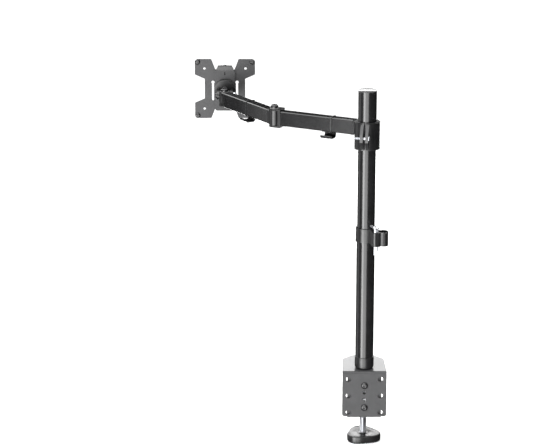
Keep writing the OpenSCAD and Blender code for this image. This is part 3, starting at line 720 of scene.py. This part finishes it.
def make_tilt_pivot():
    """A bolt from the left, its nut at the right and a washer against each cheek."""
    low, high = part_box("tilt_bolt")
    head_h, shank = 4.0, 3.0
    bore = shank + 0.02
    seat = low.x + head_h * MM
    at = Vector((seat, middle("tilt_bolt").y, middle("tilt_bolt").z))
    length = (high.x - seat) / MM
    threaded = 12
    rings = thread(shank, 1.0, -length, threaded - length)
    rings += [(threaded + 0.4 - length, shank), (0, shank)] + dome(5.5, head_h, 4.0, 2.5)
    turned("tilt_bolt.made", "tilt_bolt", rings, [place(at, LEFT)])
    rings = nut(10, extent("tilt_nut")[0], bore)
    spot = (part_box("tilt_nut")[0].x, at.y, at.z)
    turned("tilt_nut.made", "tilt_nut", rings, [place(spot, RIGHT, BACK)], hollow=True)
    low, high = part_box("tilt_washers")
    rings = hollow_ring(extent("tilt_washers")[1] / 2, bore, 0.5, 0.1)
    places = [place((low.x, at.y, at.z), RIGHT), place((high.x, at.y, at.z), LEFT)]
    turned("tilt_washers.made", "tilt_washers", rings, places, hollow=True)


def make_hub():
    """A cylinder-headed bolt through the screen plate, its nut and its wide washer."""
    low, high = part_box("hub_bolt")
    head_r, head_h, shank = 6.5, 3.9, 4.0
    seat = low.y + head_h * MM
    at = Vector((middle("hub_bolt").x, seat, middle("hub_bolt").z))
    length = (high.y - seat) / MM
    threaded = 5
    rings = thread(shank, 1.25, -length, threaded - length)
    rings += [(threaded + 0.4 - length, shank), (0, shank)]
    rings += [(0, head_r - 0.2), (0.2, head_r), (head_h - 0.5, head_r), (head_h, head_r - 0.5)]
    rings += [(head_h, hexagon(5.2)), (head_h - 0.3, hexagon(5.0)), (head_h - 2.4, hexagon(5.0))]
    turned("hub_bolt.made", "hub_bolt", rings, [place(at, FRONT)])
    rings = nut(13, extent("hub_nut")[1], shank + 0.02)
    spot = (at.x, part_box("hub_nut")[0].y, at.z)
    turned("hub_nut.made", "hub_nut", rings, [place(spot, BACK, UP)], hollow=True)
    width, thick, _ = extent("hub_washer")
    rings = hollow_ring(width / 2, shank + 0.05, thick, 0.2)
    spot = (at.x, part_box("hub_washer")[0].y, at.z)
    turned("hub_washer.made", "hub_washer", rings, [place(spot, BACK)], segments=96, hollow=True)


def make_screen_fasteners():
    """Four screws at the corners of the larger pattern, and the catch's own screw."""
    mount = MOUNT["vesa_100"]
    half = mount["dims"]["spacing_x_mm"] / 2 * MM
    head_r, head_h, shank, shoulder, plate = 4.8, 3.0, 2.0, 2.2, 2.5
    middle_at = Vector(mount["pos_m"]) + plate * MM * FRONT
    length = (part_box("vesa_screws")[1].y - mount["pos_m"][1]) / MM
    spots = [middle_at + Vector((x * half, 0, z * half)) for x in (-1, 1) for z in (-1, 1)]
    rings = thread(shank, 0.7, -plate - length, -plate - 0.1)
    rings += [(-plate, shank), (-plate, shoulder), (0, shoulder)] + dome(head_r, head_h, 2.5, 1.6)
    places = [place(spot, FRONT) for spot in spots]
    turned("vesa_screws.made", "vesa_screws", rings, places, segments=36)
    head_r, head_h, shank = 3.0, 2.0, 1.25
    length = extent("catch_screw")[2] - head_h
    at = foot("catch_screw") + length * MM * UP
    rings = thread(shank, 0.45, -length, -1.0) + [(-0.7, shank), (0, shank)]
    rings += dome(head_r, head_h, 1.5, 1.1)
    turned("catch_screw.made", "catch_screw", rings, [place(at, UP)], segments=36)


# ---------- assembly ----------

ROUNDED_EDGES = {  # rounding in millimetres
    "clamp_bracket": 0.6, "lower_jaw": 0.6, "jaw_thread_strip": 0.3, "desk_pad": 0.4,
    "cable_holder": 0.5, "collar_liner": 0.25, "collar_body": 0.9,
    "arm1_tube": 0.25, "arm1_fork": 0.8, "arm1_clip": 0.35,
    "arm2_tongue": 0.5, "arm2_tube": 0.25, "arm2_head_fork": 0.5, "arm2_clip": 0.35,
    "head_tongue": 0.8, "tilt_bracket": 0.8,
    "hub_bracket": 0.5, "safety_catch": 0.6, "vesa_plate": 0.4,
}

make_camera()
make_world()
make_floor()
for rounded_node, rounding in ROUNDED_EDGES.items():
    refined(rounded_node, rounding)
make_clamp_screw()
make_clamp_knob()
make_pressure_foot()
make_jaw_fasteners()
make_pole()
make_grip_ribs()
for key_node in KEYS:
    make_hex_key(key_node)
make_collar_bolt()
make_pivot("elbow", RIGHT)
make_pivot("head", Vector(JOINT["clip2_slide"]["axis"]))
make_tube_screws("arm1_screws")
make_tube_screws("arm2_screws")
make_tilt_pivot()
make_hub()
make_screen_fasteners()

make_lights()
